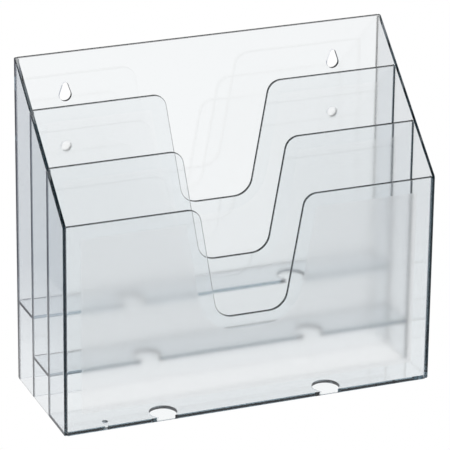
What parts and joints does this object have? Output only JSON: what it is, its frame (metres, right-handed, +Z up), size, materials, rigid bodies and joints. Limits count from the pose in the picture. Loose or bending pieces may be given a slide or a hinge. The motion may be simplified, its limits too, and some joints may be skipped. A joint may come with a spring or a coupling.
{
  "type": "desktop file sorter",
  "caption": "Clear plastic desktop or wall file sorter with stepped pockets side by side, rising to the back, a finger notch in each pocket's front and keyholes in the back panel.",
  "frame": {"origin": "middle of the footprint, on the surface that the sorter stands on", "axes": "+Z up; -Y is the front, where the lowest panel is; +X to the right seen from the front"},
  "size_m": [0.33, 0.1222, 0.2916],
  "materials": {
    "clear_polystyrene": "clear polystyrene with polished faces and edges",
    "frosted_polystyrene": "clear polystyrene, finely textured on its broad face inside a polished border"
  },
  "bodies": {
    "root": {"left_side_panel": "clear_polystyrene", "right_side_panel": "clear_polystyrene", "back_panel": "clear_polystyrene", "rear_divider": "frosted_polystyrene", "middle_divider": "frosted_polystyrene", "front_panel": "frosted_polystyrene", "rear_floor": "clear_polystyrene", "middle_floor": "clear_polystyrene", "front_floor": "clear_polystyrene"}
  },
  "joints": []
}
